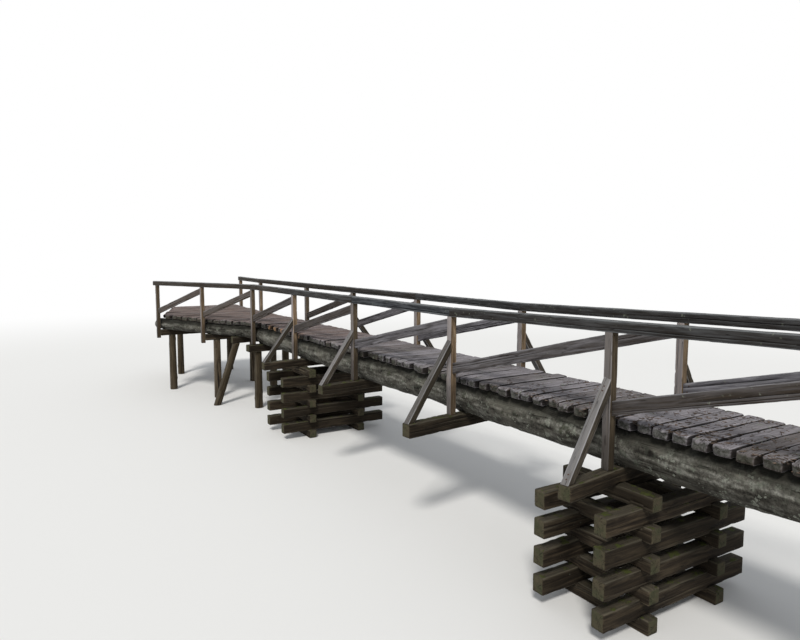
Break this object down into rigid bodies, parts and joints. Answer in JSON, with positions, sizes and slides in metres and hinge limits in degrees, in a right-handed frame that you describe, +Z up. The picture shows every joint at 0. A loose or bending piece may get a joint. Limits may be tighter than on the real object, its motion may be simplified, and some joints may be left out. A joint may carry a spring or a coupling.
{
  "type": "wooden footbridge",
  "caption": "Rustic log footbridge: plank deck on log stringers, braced post-and-rail sides, outriggers with raking struts, timber cribs and a flared landing.",
  "frame": {"origin": "on the lowest ground, under the middle of the whole footprint", "axes": "+X along the walkway to the right seen from the near side, +Y across it to the far side, +Z up"},
  "size_m": [19.255, 3.731, 3.0728],
  "materials": {
    "stringer_log": "weathered log, hewn flat on top",
    "deck_plank": "grey split planks, worn and mossy at the ends",
    "post": "weathered square timber",
    "rail": "dark weathered square timber",
    "brace": "weathered board",
    "dark_timber": "dark damp timber with moss",
    "pole": "round peeled pole"
  },
  "bodies": {
    "root": {"near_stringer_log": "stringer_log", "far_stringer_log": "stringer_log", "landing_near_log": "stringer_log", "landing_middle_log": "stringer_log", "landing_far_log": "stringer_log", "deck_bay_1": "deck_plank", "deck_bay_2": "deck_plank", "deck_bay_3": "deck_plank", "deck_bay_4": "deck_plank", "deck_bay_5": "deck_plank", "landing_deck_inner": "deck_plank", "landing_deck_outer": "deck_plank", "outrigger_1": "dark_timber", "outrigger_2": "dark_timber", "outrigger_3": "dark_timber", "outrigger_4": "dark_timber", "near_struts": "brace", "far_struts": "brace", "near_post_1": "post", "far_post_1": "post", "near_post_2": "post", "far_post_2": "post", "near_post_3": "post", "far_post_3": "post", "near_post_4": "post", "far_post_4": "post", "near_post_5": "post", "far_post_5": "post", "near_post_6": "post", "far_post_6": "post", "near_post_7": "post", "far_post_7": "post", "near_post_8": "post", "far_post_8": "post", "near_top_rail": "rail", "far_top_rail": "rail", "near_braces": "brace", "far_braces": "brace", "left_crib_long_timbers": "dark_timber", "left_crib_cross_timbers": "dark_timber", "right_crib_long_timbers": "dark_timber", "right_crib_cross_timbers": "dark_timber", "cap_beams": "dark_timber", "landing_sill_beams": "dark_timber", "bridge_piles": "pole", "landing_legs": "pole", "leaning_prop": "pole"}
  },
  "joints": []
}
